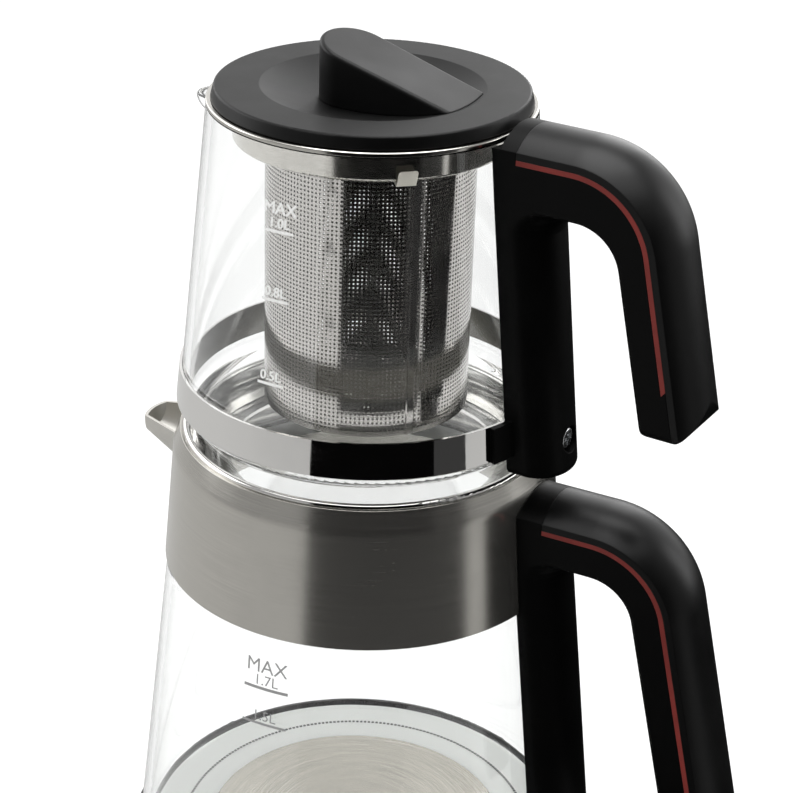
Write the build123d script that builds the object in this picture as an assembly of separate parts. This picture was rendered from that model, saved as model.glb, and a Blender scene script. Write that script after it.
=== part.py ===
from build123d import *
import os
from math import acos, atan2, cos, hypot, pi, radians, sin, sqrt, tan

# A double tea maker: a glass teapot with a strainer, nested in the mouth of an electric kettle
# that lifts off a round power base. Millimetres, +Z up, the floor at Z = 0, the kettle's handle
# towards +X and its spout towards -X. The teapot's handle is turned a little from the kettle's.

# ---- clearances
lift_gap = 0.3           # between pieces that lift, turn or slide apart
fit_gap = 0.1            # between pieces of one assembly
overcut = 1.0            # how far a cutting shape reaches past what it cuts

# ---- power base
base_margin = 3.5
base_height = 22.0
base_wall = 2.2
base_edge_radius = 3.5
cover_thickness = 2.4
foot_radius = 7.0
foot_height = 2.0
foot_circle_inset = 18.0
foot_count = 4
cover_screw_radius = 2.6
cover_screw_height = 1.4
cover_screw_shank = 1.3
cover_screw_length = 8.0
screw_boss_radius = 3.6
spigot_radius = 16.0
spigot_height = 11.0
spigot_flange = 4.0
spigot_chamfer = 2.0
contact_well_depth = 9.0
contact_pin_radius = 2.5
contact_pin_drop = 1.0
contact_pin_room = 4.2
contact_ring_radius = 9.0
contact_ring_wall = 1.0
contact_ring_drop = 2.0
contact_groove_room = 10.6
shutter_width = 4.7
shutter_height = 4.0
panel_width = 60.0
panel_margin = 4.5
panel_corner_radius = 10.0
button_radius = 7.0
button_flange = 1.2
button_edge_radius = 1.0
button_depth = 5.4
button_travel = 1.6
button_pressed_proud = 0.6
button_spacing = 22.0
button_clearance = 1.0
lamp_radius = 1.8
lamp_spacing = 44.0
spring_radius = 4.0
spring_wire_radius = 0.4
spring_turns = 4
board_length = 50.0
board_width = 13.0
board_thickness = 1.6
board_post_radius = 2.5
board_post_height = 3.6
board_post_inset = 4.0
gland_radius = 4.5
gland_bore_radius = 2.8
gland_length = 8.0
gland_flange = 1.5

# ---- kettle
kettle_base_radius = 84.5
kettle_base_height = 29.7
kettle_base_wall = 2.4
shelf_width = 22.1
glass_neck_radius = 69.4
glass_top_radius = 65.0
glass_wall = 3.0
glass_floor_width = 24.7
glass_corner_round = 5.0
glass_neck_round = 17.0
glass_lip_round = 1.0
glass_neck_drop = 3.0
glass_in_collar = 19.5
glass_floor_drop = 0.8
plate_height = 52.0
plate_thickness = 1.2
plate_step_width = 9.5
plate_centre_rise = 2.4
seal_overlap = 2.5
seal_wall = 2.0
seal_lip = 14.5
spreader_thickness = 2.0
element_inset = 10.0
element_tube_radius = 3.2
thermostat_length = 34.0
thermostat_width = 26.0
socket_wall = 2.0
socket_flange = 4.0
bottom_screw_inset = 18.5
bottom_screw_count = 3
kettle_body_height = 119.5
collar_height = 49.0
collar_foot_radius = 70.0
collar_shoulder_radius = 66.6
collar_shoulder_drop = 7.0
collar_shoulder_round = 10.0
collar_wall = 0.8
gasket_height = 7.0
gasket_drop = 1.0
mouth_radius = 60.8
mouth_wall = 1.2
mouth_rise = 1.5
mouth_bead_radius = 1.2
ledge_width = 13.0
spout_reach = 89.0
spout_root_width = 34.0
spout_tip_width = 13.0
spout_root_depth = 22.0
spout_tip_depth = 9.0
spout_top_drop = 16.5
spout_wall = 1.2
spout_root_inset = 6.0
spout_nose_radius = 16.0

# ---- teapot
teapot_turn = -3.5
teapot_height = 127.2
teapot_nest_depth = 12.7
teapot_rim_radius = 54.2
teapot_foot_radius = 64.3
teapot_nest_radius = 60.0
teapot_base_radius = 57.6
teapot_wall = 2.6
teapot_floor = 3.2
teapot_foot_rise = 20.9
teapot_step_rise = 18.0
teapot_shoulder_round = 1.5
teapot_step_round = 1.5
teapot_base_round = 3.4
band_height = 12.2
band_rise = 22.8
band_wall = 0.9
ear_angle = 39.0
ear_wall = 2.0
lip_angle = 204.5
lip_reach = 3.8
lip_half_width = 10.5
lip_drop = 9.0
lip_set_back = 12.0
lip_wall = 2.2

# ---- strainer and lid
flange_radius = 54.3
crown_clearance = 1.0
flange_thickness = 1.5
flange_edge_radius = 0.6
strainer_collar_radius = 45.6
strainer_collar_height = 10.9
strainer_collar_round = 1.0
strainer_wall = 0.8
basket_radius = 35.0
basket_height = 93.2
basket_hole_radius = 1.5
basket_hole_rows = 9
basket_hole_columns = 24
basket_plain_margin = 7.0
floor_hole_rings = 4
floor_pan_rim = 3.0
clip_width = 6.2
clip_height = 5.8
clip_drop = 1.3
clip_spread = 2.8
clip_tongue = 5.0
clip_wall = 0.5
clip_corner_radius = 1.0
clip_count = 3
clip_angle = -44.8
lid_radius = 51.6
lid_skirt_radius = 52.7
lid_edge_height = 4.1
lid_edge_radius = 0.8
lid_wall = 2.0
dish_radius = 37.0
dish_depth = 6.2
plug_wall = 1.8
plug_room = 2.5
lid_seal_wall = 0.9
lid_seal_height = 2.4
knob_height = 15.6
knob_end_reach = 17.7
knob_end_depth = 11.5
knob_end_width = 27.8
knob_foot_width = 25.0
knob_slope = 17.0
knob_edge_radius = 1.2

# ---- handles
grip_width = 29.0
grip_corner_radius = 31.0
grip_inner_radius = 16.0
grip_tip_radius = 5.0
grip_end_radius = 5.0
grip_edge_radius = 1.5
grip_crown_height = 5.5
grip_crown_root = 3.0
grip_cover_thickness = 2.4
stripe_width = 1.7
stripe_depth = 1.2
stripe_tip_margin = 21.0
bracket_width = 27.0
bracket_round = 11.5
bracket_foot_round = 2.5
bracket_saddle_radius = 9.0
bracket_saddle_steps = 6
bracket_root_rise = 6.0
screw_head_radius = 3.6
screw_head_height = 2.0
screw_shank_radius = 1.6
screw_shank_length = 6.0
screw_recess_radius = 4.6
screw_recess_depth = 3.2
bracket_head_depth = 14.0

teapot_bar_drop = 0.5
teapot_bar_reach = 105.0
teapot_bar_depth = 18.8
teapot_leg_angle = 12.5
teapot_leg_thickness = 13.8
teapot_grip_drop = 85.0
teapot_seam_radius = 61.0
teapot_bracket_flat_top = 4.5
teapot_bracket_flat_foot = 6.0
teapot_bracket_drop = 111.3
teapot_screw_rise = 12.0

kettle_bar_drop = 12.3
kettle_bar_reach = 117.0
kettle_bar_depth = 15.5
kettle_leg_angle = 13.2
kettle_leg_thickness = 14.6
kettle_grip_drop = 130.0
kettle_seam_radius = 75.0
kettle_bracket_flat_top = 2.2
kettle_bracket_flat_foot = 4.5
kettle_screw_rise = 12.0

# ---- heights and radii that follow from the sizes above
base_radius = kettle_base_radius + base_margin
foot_circle_radius = base_radius - foot_circle_inset
button_row = kettle_base_radius + button_radius + button_clearance
panel_reach = button_row + button_radius + panel_margin
shelf_inner_radius = kettle_base_radius - kettle_base_wall - shelf_width
glass_foot_radius = kettle_base_radius - kettle_base_wall + fit_gap
glass_floor_opening = glass_foot_radius - glass_floor_width
plate_radius = glass_floor_opening - seal_wall
plate_centre_radius = plate_radius - plate_step_width
seal_reach = glass_floor_opening + seal_lip
element_ring_radius = plate_centre_radius - element_inset
bottom_screw_circle = kettle_base_radius - bottom_screw_inset
cover_top = foot_height + cover_thickness
base_ceiling = base_height - base_wall
spigot_top = base_height + spigot_height
contact_foot = spigot_top - contact_well_depth
shutter_radius = spigot_radius + lift_gap + shutter_width
kettle_foot = base_height + lift_gap
kettle_base_top = kettle_foot + kettle_base_height
kettle_floor_top = kettle_foot + kettle_base_wall
plate_rim_foot = plate_height - plate_thickness
glass_floor_top = plate_rim_foot - glass_floor_drop
glass_floor_foot = glass_floor_top - glass_wall
shelf_top = glass_floor_foot - fit_gap
shelf_foot = shelf_top - kettle_base_wall
collar_foot = plate_height + kettle_body_height
collar_top = collar_foot + collar_height
shoulder_height = collar_top - collar_shoulder_drop
collar_mouth_radius = mouth_radius + 2 * mouth_bead_radius + fit_gap
glass_top = collar_foot + glass_in_collar
mouth_top = collar_top + mouth_rise
kettle_bar_top = collar_top - kettle_bar_drop
spout_top = collar_top - spout_top_drop
ledge_top = mouth_top - teapot_nest_depth
teapot_foot = ledge_top + lift_gap
teapot_rim = teapot_foot + teapot_height
band_foot = teapot_foot + band_rise
band_top = band_foot + band_height
flange_foot = teapot_rim + lift_gap
flange_top = flange_foot + flange_thickness
strainer_collar_foot = flange_foot - strainer_collar_height
basket_foot = strainer_collar_foot - basket_height
lid_foot = flange_top + lift_gap
lid_top = lid_foot + lid_edge_height
plug_foot = strainer_collar_foot + strainer_wall + plug_room
lid_seal_radius = strainer_collar_radius - strainer_wall - lift_gap
plug_radius = lid_seal_radius - lid_seal_wall - fit_gap
teapot_bar_top = teapot_rim - teapot_bar_drop
teapot_bracket_foot = teapot_bar_top - teapot_bracket_drop
board_top = cover_top + board_post_height + board_thickness
button_top = base_height + button_travel + button_pressed_proud
button_foot = base_ceiling - button_depth

os.makedirs("parts", exist_ok=True)


# ---- shared shapes

def turned(points):
    """Solid of revolution about Z from a closed outline of (radius, height) points."""
    return revolve(Plane.XZ * make_face(Polyline(*points, close=True)), Axis.Z)


def turned_line(line):
    """Solid of revolution about Z from an open outline, closed by a straight edge."""
    return revolve(Plane.XZ * make_face([*line.edges(), Line(line @ 1, line @ 0)]), Axis.Z)


def ring(outer, inner, low, high):
    """Flat-faced ring between two heights."""
    return turned([(inner, low), (outer, low), (outer, high), (inner, high)])


def disc(radius, low, high):
    """Flat-faced disc between two heights."""
    return Pos(0, 0, (low + high) / 2) * Cylinder(radius, high - low)


def block(x, y, z):
    """Box between the given (low, high) pairs."""
    centre = Pos(sum(x) / 2, sum(y) / 2, sum(z) / 2)
    return centre * Box(x[1] - x[0], y[1] - y[0], z[1] - z[0])


def side_prism(points, width):
    """Outline of (x, z) points, made as wide as given across Y."""
    return extrude(Plane.XZ * make_face(Polyline(*points, close=True)), width / 2, both=True)


def around_z(shape, count, start=0.0):
    """Copies of a shape at equal angles round Z."""
    return [Rot(0, 0, start + 360 * i / count) * shape for i in range(count)]


def pan_screw(head_radius, head_height, shank_radius, shank_length):
    """Round-headed screw with a cross recess: head up, the underside of the head at the origin."""
    head = Pos(0, 0, head_height / 2) * Cylinder(head_radius, head_height)
    head = fillet(head.edges().sort_by(Axis.Z)[-1], head_height * 0.4)
    shank = Pos(0, 0, -shank_length / 2) * Cylinder(shank_radius, shank_length)
    slot = Pos(0, 0, head_height) * Box(head_radius * 1.2, head_radius * 0.3, head_height)
    return head + shank - slot - Rot(0, 0, 90) * slot


def sunk(shape, circle, count, face):
    """Copies of a screw, or of its hole, head down in a downward face at equal angles round Z."""
    placed = Pos(circle, 0, face + cover_screw_height) * Rot(180, 0, 0) * shape
    return around_z(placed, count, 180 / count)


def cover_screws(circle, count, face):
    """The screws of a bottom cover."""
    screw = pan_screw(cover_screw_radius, cover_screw_height, cover_screw_shank, cover_screw_length)
    return group(sunk(screw, circle, count, face))


def cover_screw_holes(circle, count, face):
    """Countersunk holes for the screws of a bottom cover."""
    shank = disc(cover_screw_shank + fit_gap, -cover_screw_length, 0)
    return sunk(disc(cover_screw_radius + fit_gap, 0, 2 * cover_screw_height) + shank, circle, count,
                face)


def screw_bosses(circle, count, low, high, face):
    """Bored posts that the screws of a bottom cover turn into."""
    posts = around_z(Pos(circle, 0, 0) * disc(screw_boss_radius, low, high), count, 180 / count)
    bore = disc(cover_screw_shank + fit_gap, -cover_screw_length - fit_gap, 0)
    return Part() + posts - sunk(bore, circle, count, face)


def group(shapes):
    """Separate solids that share one node."""
    return Compound([solid for shape in shapes for solid in shape.solids()])


def save(node, shape):
    """One STEP file for one named piece."""
    solids = shape.solids()
    export_step(solids[0] if len(solids) == 1 else Compound(solids), f"parts/{node}.step")


def with_teapot(shape):
    """A piece turned with the teapot, which stands at its own angle in the kettle's mouth."""
    return Rot(0, 0, teapot_turn) * shape


# ---- outlines that several pieces follow

def collar_skin(height):
    """Outer radius of the kettle's steel collar on its straight flank."""
    share = (height - collar_foot) / (shoulder_height - collar_foot)
    return collar_foot_radius + (collar_shoulder_radius - collar_foot_radius) * share


def kettle_skin(height):
    """Outer radius of the kettle's glass wall below the collar."""
    neck = collar_foot - glass_neck_drop
    share = (neck - height) / (neck - glass_floor_foot)
    return glass_neck_radius + (glass_foot_radius - glass_neck_radius) * share


def neck_skin(height):
    """Outer radius of the glass neck inside the collar."""
    neck = collar_foot - glass_neck_drop
    share = (height - neck) / (glass_top - neck)
    return glass_neck_radius + (glass_top_radius - glass_neck_radius) * share


def teapot_skin(height):
    """Outer radius of the teapot's flared wall."""
    shoulder = teapot_foot + teapot_foot_rise
    share = (teapot_rim - height) / (teapot_rim - shoulder)
    return teapot_rim_radius + (teapot_foot_radius - teapot_rim_radius) * share


# ---- grips and brackets

def grip_corners(seam, reach, top, bar_depth, angle, thickness, drop, depth=0.0):
    """Corners of a hook-shaped grip from its seam round the tip, its outer line moved in by depth."""
    lean = radians(angle)
    shift = depth * tan((pi / 2 - lean) / 2)
    bend = (reach - shift, top - depth)
    across = thickness / cos(lean)
    tip = reach + tan(lean) * drop
    outer_tip = (tip - depth / cos(lean), top - drop)
    inner_tip = (tip - across, top - drop)
    inner_bend = (reach - across + tan(lean) * bar_depth, top - bar_depth)
    return (seam, top - depth), bend, outer_tip, inner_tip, inner_bend, (seam, top - bar_depth)


def grip_face(size, depth=0.0):
    """Closed side outline of a grip, its outer line moved in by a depth."""
    radii = [grip_corner_radius - depth, grip_tip_radius - depth, grip_tip_radius, grip_inner_radius]
    line = FilletPolyline(*grip_corners(*size, depth), radius=radii)
    return Plane.XZ * make_face([*line.edges(), Line(line @ 1, line @ 0)])


def stripe_face(size):
    """Side outline of the inlaid stripe, which follows the grip's outer line under its cover."""
    seam, reach, top, _, angle, _, drop = size
    lean = radians(angle)
    length = (drop - stripe_tip_margin) / cos(lean)
    rails = []
    for depth in (grip_cover_thickness, grip_cover_thickness + stripe_width):
        bend = (reach - depth * tan((pi / 2 - lean) / 2), top - depth)
        end = (bend[0] + sin(lean) * length, bend[1] - cos(lean) * length)
        rails.append(FilletPolyline((seam, top - depth), bend, end, radius=grip_corner_radius - depth))
    outer, inner = rails
    ends = [Line(outer @ 0, inner @ 0), Line(outer @ 1, inner @ 1)]
    return Plane.XZ * make_face([*outer.edges(), *inner.edges(), *ends])


def crown_section(seam, top):
    """End of a grip's domed back: an arc from cheek to cheek, with a root that sinks into the grip."""
    half = grip_width / 2
    left, right = (seam, -half, top), (seam, half, top)
    arc = ThreePointArc(left, (seam, 0, top + grip_crown_height), right)
    low = top - grip_crown_root
    sides = Polyline(right, (seam, half, low), (seam, -half, low), left)
    return make_face([arc, *sides.edges()])


def grip_envelope(size):
    """All that lies under a grip's domed back, carried on past the tip."""
    seam, reach, top, _, angle, _, drop = size
    lean = radians(angle)
    fall = drop + 2 * grip_corner_radius
    bend, end = (reach, top), (reach + tan(lean) * fall, top - fall)
    spine = FilletPolyline((seam, top), bend, end, radius=grip_corner_radius)
    close = [Line(end, (seam, end[1])), Line((seam, end[1]), (seam, top))]
    body = extrude(Plane.XZ * make_face([*spine.edges(), *close]), grip_width / 2, both=True)
    return body + sweep(crown_section(seam, top), path=Plane.XZ * spine)


def make_grip(size):
    """The three layers of a grip: the core with its cheeks, the outer cover and the two stripes."""
    seam, reach, top, _, _, _, drop = size
    slab = extrude(grip_face(size, -grip_crown_height), grip_width / 2, both=True)
    sides = slab.faces().sort_by(Axis.Y)
    rims = [edge for side in (sides[0], sides[-1]) for edge in side.edges()
            if abs(edge.center().X - seam) > fit_gap]
    slab = fillet(rims, grip_edge_radius)
    front = block((seam, seam + 2 * reach), (-grip_width / 2, grip_width / 2),
                  (top - drop, top + 2 * grip_crown_height))
    front = fillet(front.edges().filter_by(Axis.X).group_by(Axis.Z)[0], grip_end_radius)
    whole = slab & grip_envelope(size) & front
    inside = extrude(grip_face(size, grip_cover_thickness), grip_width, both=True)
    cheek = grip_width / 2
    floor = cheek - stripe_depth
    track = stripe_face(size)
    groove = extrude(track, grip_width, both=True) - extrude(track, floor, both=True)
    return (whole & inside) - groove, whole - inside, whole & groove


def column_sizes(height, low, high, flat_low, flat_high):
    """Depth of a column's flat cheeks and its width at a height."""
    share = (height - low) / (high - low)
    return flat_low + (flat_high - flat_low) * share, bracket_width + (grip_width - bracket_width) * share


def column_section(height, skin, low, high, flat_low, flat_high, turnout=0.0):
    """Cross-section of a column: flat cheeks that start inside the wall, and a round outer face."""
    flat, width = column_sizes(height, low, high, flat_low, flat_high)
    chord = sqrt(skin(height) ** 2 - (width / 2) ** 2)
    start = chord - bracket_round
    end = chord + flat + turnout
    face = Pos((start + end) / 2, 0) * Rectangle(end - start, width)
    return Pos(0, 0, height) * (face + Pos(end, 0) * Ellipse(bracket_round, width / 2))


def bracket_column(skin, low, high, flat_low, flat_high):
    """Upright column whose top turns out under the bar in a hollow curve and ends inside the bar."""
    radius = bracket_saddle_radius
    flats = (low, high, flat_low, flat_high)
    sections = [column_section(low, skin, *flats)]
    for step in range(bracket_saddle_steps + 1):
        turn = pi / 2 * step / bracket_saddle_steps
        sections.append(column_section(high - radius + radius * sin(turn), skin, *flats,
                                       radius * (1 - cos(turn))))
    column = loft(sections, ruled=True)
    column = fillet(column.edges().group_by(Axis.Z)[0], bracket_foot_round)
    root = column_section(high, skin, *flats, radius)
    return column + extrude(root, bracket_root_rise, dir=(0, 0, 1))


def column_face(height, skin, low, high, flat_low, flat_high):
    """Distance of the column's round face from the axis at a height."""
    flat, width = column_sizes(height, low, high, flat_low, flat_high)
    return sqrt(skin(height) ** 2 - (width / 2) ** 2) + flat + bracket_round


def face_screw(face, height):
    """A screw in the column's round face, and the recess that it sits in."""
    lying = Pos(face - screw_recess_depth, 0, height) * Rot(0, 90, 0)
    screw = lying * pan_screw(screw_head_radius, screw_head_height, screw_shank_radius,
                              screw_shank_length)
    recess = lying * Pos(0, 0, screw_recess_depth) * Cylinder(screw_recess_radius,
                                                             2 * screw_recess_depth)
    shaft = lying * Pos(0, 0, -screw_shank_length / 2) * Cylinder(screw_shank_radius,
                                                                  screw_shank_length)
    return screw, recess + shaft


def root_block(seam, low, top, crown_start):
    """Head of the bracket behind the grip's seam, with the grip's domed back carried on over it."""
    head = block((seam - bracket_head_depth, seam), (-grip_width / 2, grip_width / 2), (low, top))
    return head + extrude(crown_section(crown_start, top), seam - crown_start, dir=(1, 0, 0))


# ---- power base

def make_base_shell():
    """Round upper housing with a control panel at the front and a well for the connector."""
    def outline(inset, low, high):
        half = panel_width / 2 - inset
        panel = block((-half, half), (-(panel_reach - inset), 0), (low, high))
        corners = panel.edges().filter_by(Axis.Z).group_by(Axis.Y)[0]
        return disc(base_radius - inset, low, high) + fillet(corners, panel_corner_radius - inset)

    shell = outline(0, foot_height, base_height)
    shell = fillet(shell.edges().group_by(Axis.Z)[-1], base_edge_radius)
    shell -= outline(base_wall, 0, base_ceiling)
    shell += screw_bosses(foot_circle_radius, foot_count, cover_top + fit_gap, base_ceiling, foot_height)
    low, high = base_ceiling - overcut, base_height + overcut
    shell -= disc(spigot_radius + fit_gap, low, high)
    for x in (-button_spacing / 2, button_spacing / 2):
        shell -= Pos(x, -button_row, 0) * disc(button_radius + lift_gap, low, high)
    for x in (-lamp_spacing / 2, lamp_spacing / 2):
        shell -= Pos(x, -button_row, 0) * disc(lamp_radius + fit_gap, low, high)
    inlet = Pos(0, base_radius, base_height / 2) * Rot(90, 0, 0)
    return shell - inlet * Cylinder(gland_radius + fit_gap, 4 * base_wall)


def make_base_cover():
    """Flat bottom cover with the posts that carry the control board."""
    inset = base_wall + fit_gap
    half = panel_width / 2 - inset
    tongue = block((-half, half), (-(panel_reach - inset), 0), (foot_height, cover_top))
    corners = tongue.edges().filter_by(Axis.Z).group_by(Axis.Y)[0]
    cover = disc(base_radius - inset, foot_height, cover_top)
    cover += fillet(corners, panel_corner_radius - inset)
    post = disc(board_post_radius, cover_top, cover_top + board_post_height)
    reach = board_length / 2 - board_post_inset
    for x in (-reach, reach):
        cover += Pos(x, -button_row, 0) * post
    return cover - cover_screw_holes(foot_circle_radius, foot_count, foot_height)


def make_base_feet():
    """Rubber pads under the bottom cover, between its screws."""
    foot = Pos(foot_circle_radius, 0, 0) * disc(foot_radius, 0, foot_height)
    return group(around_z(foot, foot_count))


def make_base_connector():
    """Round plastic post with a flange, a pin well and a ring-shaped groove for the contacts."""
    flange = spigot_radius + spigot_flange
    post = turned([(0, cover_top), (flange, cover_top), (flange, cover_top + base_wall),
                   (spigot_radius, cover_top + base_wall),
                   (spigot_radius, spigot_top - spigot_chamfer),
                   (spigot_radius - spigot_chamfer, spigot_top), (0, spigot_top)])
    inner = contact_ring_radius - contact_ring_wall - fit_gap
    groove = ring(contact_groove_room, inner, contact_foot, spigot_top + overcut)
    return post - groove - disc(contact_pin_room, contact_foot, spigot_top + overcut)


def make_contact_pin():
    """Centre pin of the connector, with a round end."""
    pin = disc(contact_pin_radius, contact_foot, spigot_top - contact_pin_drop)
    return fillet(pin.edges().group_by(Axis.Z)[-1], contact_pin_radius * 0.6)


def make_contact_ring():
    """Sprung ring contact round the connector's core."""
    inner = contact_ring_radius - contact_ring_wall
    return ring(contact_ring_radius, inner, contact_foot, spigot_top - contact_ring_drop)


def make_contact_shutter():
    """Loose collar round the post that the kettle turns on."""
    inner = spigot_radius + lift_gap
    return ring(shutter_radius, inner, kettle_foot, kettle_foot + shutter_height)


def make_button(x):
    """Push button: a cap that stands out of the panel on a flange trapped under it."""
    cap = disc(button_radius, button_foot, button_top)
    cap = fillet(cap.edges().group_by(Axis.Z)[-1], button_edge_radius)
    flange = disc(button_radius + button_flange, button_foot, base_ceiling - lift_gap)
    well = disc(spring_radius + 2 * spring_wire_radius + lift_gap, button_foot, base_ceiling)
    return Pos(x, -button_row, 0) * (cap + flange - well)


def make_spring(x):
    """Coil spring between the control board and the inside of a button."""
    foot = board_top + spring_wire_radius
    rise = base_ceiling - lift_gap - spring_wire_radius - foot
    path = Helix(rise / spring_turns, rise, spring_radius)
    wire = Plane(path @ 0, z_dir=path % 0) * Circle(spring_wire_radius)
    return Pos(x, -button_row, foot) * sweep(wire, path=path)


def make_control_board():
    """Circuit board on the bottom cover's posts, under the buttons."""
    half = board_width / 2
    return block((-board_length / 2, board_length / 2), (-button_row - half, -button_row + half),
                 (board_top - board_thickness, board_top))


def make_lamps():
    """Two clear light guides that stand from the board to the face of the panel."""
    guide = disc(lamp_radius, board_top, base_height)
    return group([Pos(x, -button_row, 0) * guide for x in (-lamp_spacing / 2, lamp_spacing / 2)])


def make_cord_gland():
    """Rubber bush in the rear wall, open for a lead."""
    bush = turned([(gland_bore_radius, 0), (gland_radius + gland_flange, 0),
                   (gland_radius + gland_flange, gland_flange), (gland_radius, gland_flange),
                   (gland_radius, gland_length), (gland_bore_radius, gland_length)])
    face = base_radius + gland_flange
    return Pos(0, face, base_height / 2) * Rot(90, 0, 0) * bush


# ---- kettle

def make_kettle_base_shell():
    """Black ring round the foot of the glass, with the shelf that carries it."""
    inner = kettle_base_radius - kettle_base_wall
    line = Polyline((inner, kettle_foot), (kettle_base_radius, kettle_foot),
                    (kettle_base_radius, kettle_base_top), (inner, kettle_base_top),
                    (inner, shelf_top), (shelf_inner_radius, shelf_top),
                    (shelf_inner_radius, shelf_foot), (inner, shelf_foot))
    shell = turned_line(line)
    rim = [edge for edge in shell.edges() if edge.geom_type == GeomType.CIRCLE
           and abs(edge.radius - kettle_base_radius) < fit_gap]
    shell = fillet(rim, kettle_base_wall * 0.6)
    return shell + screw_bosses(bottom_screw_circle, bottom_screw_count, kettle_floor_top + fit_gap,
                                shelf_foot, kettle_foot)


def make_kettle_bottom():
    """Bottom cover of the kettle round its socket."""
    inner = shutter_radius + lift_gap
    outer = kettle_base_radius - kettle_base_wall - fit_gap
    plate = ring(outer, inner, kettle_foot, kettle_floor_top)
    return plate - cover_screw_holes(bottom_screw_circle, bottom_screw_count, kettle_foot)


def make_kettle_socket():
    """Moulded cup that drops over the base's connector."""
    room = shutter_radius + lift_gap
    wall = room + socket_wall
    post_room = spigot_radius + lift_gap
    shutter_room = kettle_foot + shutter_height + lift_gap
    roof = spigot_top + lift_gap
    seat = kettle_floor_top + fit_gap
    return turned([(room, seat), (wall + socket_flange, seat), (wall + socket_flange, seat + socket_wall),
                   (wall, seat + socket_wall), (wall, roof + socket_wall), (0, roof + socket_wall),
                   (0, roof),
                   (post_room, roof), (post_room, shutter_room), (room, shutter_room)])


def make_socket_contacts():
    """Sleeve for the centre pin and sleeve round the ring contact."""
    roof = spigot_top + lift_gap
    foot = contact_foot + 2 * lift_gap
    pin_sleeve = ring(contact_pin_room - lift_gap, contact_pin_radius + lift_gap, foot, roof)
    ring_sleeve = ring(contact_groove_room - lift_gap, contact_ring_radius + lift_gap, foot, roof)
    return group([pin_sleeve, ring_sleeve])


def make_thermostat():
    """Control block between the socket and the heating plate."""
    foot = spigot_top + lift_gap + socket_wall
    top = plate_rim_foot + plate_centre_rise - spreader_thickness - 2 * fit_gap
    return block((-thermostat_length / 2, thermostat_length / 2),
                 (-thermostat_width / 2, thermostat_width / 2), (foot, top))


def make_heat_spreader():
    """Aluminium disc under the raised centre of the heating plate."""
    top = plate_rim_foot + plate_centre_rise - fit_gap
    return disc(plate_centre_radius - plate_thickness - fit_gap, top - spreader_thickness, top)


def make_heating_element():
    """Open ring of sheathed tube under the heat spreader."""
    top = plate_rim_foot + plate_centre_rise - spreader_thickness - 2 * fit_gap
    path = Pos(0, 0, top - element_tube_radius) * CenterArc((0, 0), element_ring_radius, 20, 320)
    section = Plane(path @ 0, z_dir=path % 0) * Circle(element_tube_radius)
    return sweep(section, path=path)


def make_heating_plate():
    """Pressed steel floor of the kettle with a raised centre and a step round it."""
    centre = plate_centre_radius
    inner = centre - plate_thickness
    high = plate_height + plate_centre_rise
    return turned([(0, high - plate_thickness), (inner, high - plate_thickness),
                   (inner, plate_rim_foot), (plate_radius, plate_rim_foot),
                   (plate_radius, plate_height), (centre, plate_height), (centre, high), (0, high)])


def make_plate_seal():
    """Silicone ring that grips the plate's edge and lies on the glass floor."""
    inner = plate_radius - seal_overlap
    hub = glass_floor_opening - fit_gap
    over = glass_floor_top + fit_gap
    return turned([(inner, glass_floor_foot), (hub, glass_floor_foot), (hub, over),
                   (seal_reach, over), (seal_reach, plate_height),
                   (plate_radius + fit_gap, plate_height),
                   (plate_radius + fit_gap, plate_rim_foot - fit_gap),
                   (inner, plate_rim_foot - fit_gap)])


def make_kettle_glass():
    """Flared glass wall with a floor turned in at its foot and a neck inside the collar."""
    neck = collar_foot - glass_neck_drop
    line = FilletPolyline(
        (glass_top_radius, glass_top), (glass_neck_radius, neck),
        (glass_foot_radius, glass_floor_foot), (glass_floor_opening, glass_floor_foot),
        (glass_floor_opening, glass_floor_top), (glass_foot_radius - glass_wall, glass_floor_top),
        (glass_neck_radius - glass_wall, neck), (glass_top_radius - glass_wall, glass_top),
        radius=[glass_neck_round + glass_wall, glass_corner_round + glass_wall, glass_lip_round,
                glass_lip_round, glass_corner_round, glass_neck_round])
    return turned_line(line)


def make_collar_gasket():
    """Silicone wedge between the glass neck and the steel collar."""
    top = glass_top - gasket_drop
    foot = top - gasket_height
    return turned([(neck_skin(foot) + fit_gap, foot), (collar_skin(foot) - collar_wall - fit_gap, foot),
                   (collar_skin(top) - collar_wall - fit_gap, top), (neck_skin(top) + fit_gap, top)])


def make_kettle_collar():
    """Brushed steel collar with a soft shoulder and the pour hole behind the spout."""
    mouth = collar_mouth_radius
    line = FilletPolyline(
        (mouth, collar_top), (mouth + collar_wall, collar_top),
        (collar_shoulder_radius, shoulder_height), (collar_foot_radius, collar_foot),
        (collar_foot_radius - collar_wall, collar_foot),
        (collar_shoulder_radius - collar_wall, shoulder_height), (mouth, collar_top - collar_wall),
        radius=[collar_wall / 4, collar_shoulder_round + collar_wall, collar_wall / 4,
                collar_wall / 4, collar_shoulder_round])
    return turned_line(line) - spout_form(spout_wall)


def spout_form(inset):
    """Beak with a flat open top, from inside the collar to the tip; inset gives its hollow."""
    def section(reach, width, depth):
        arch = Ellipse(width / 2 - inset, depth - inset)
        arch -= Pos(0, depth) * Rectangle(2 * width, 2 * depth)
        return Plane((reach, 0, spout_top), x_dir=(0, 1, 0), z_dir=(1, 0, 0)) * arch

    root = collar_shoulder_radius - spout_root_inset
    beak = loft([section(root, spout_root_width, spout_root_depth),
                 section(spout_reach, spout_tip_width, spout_tip_depth)], ruled=True)
    nose_centre = spout_reach - spout_nose_radius - inset
    nose = Pos(nose_centre, 0, spout_top) * Cylinder(spout_nose_radius, 3 * spout_root_depth)
    shank = block((root - overcut, nose_centre), (-spout_root_width, spout_root_width),
                  (spout_top - 2 * spout_root_depth, spout_top + overcut))
    return Rot(0, 0, 180) * (beak & (nose + shank))


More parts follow.
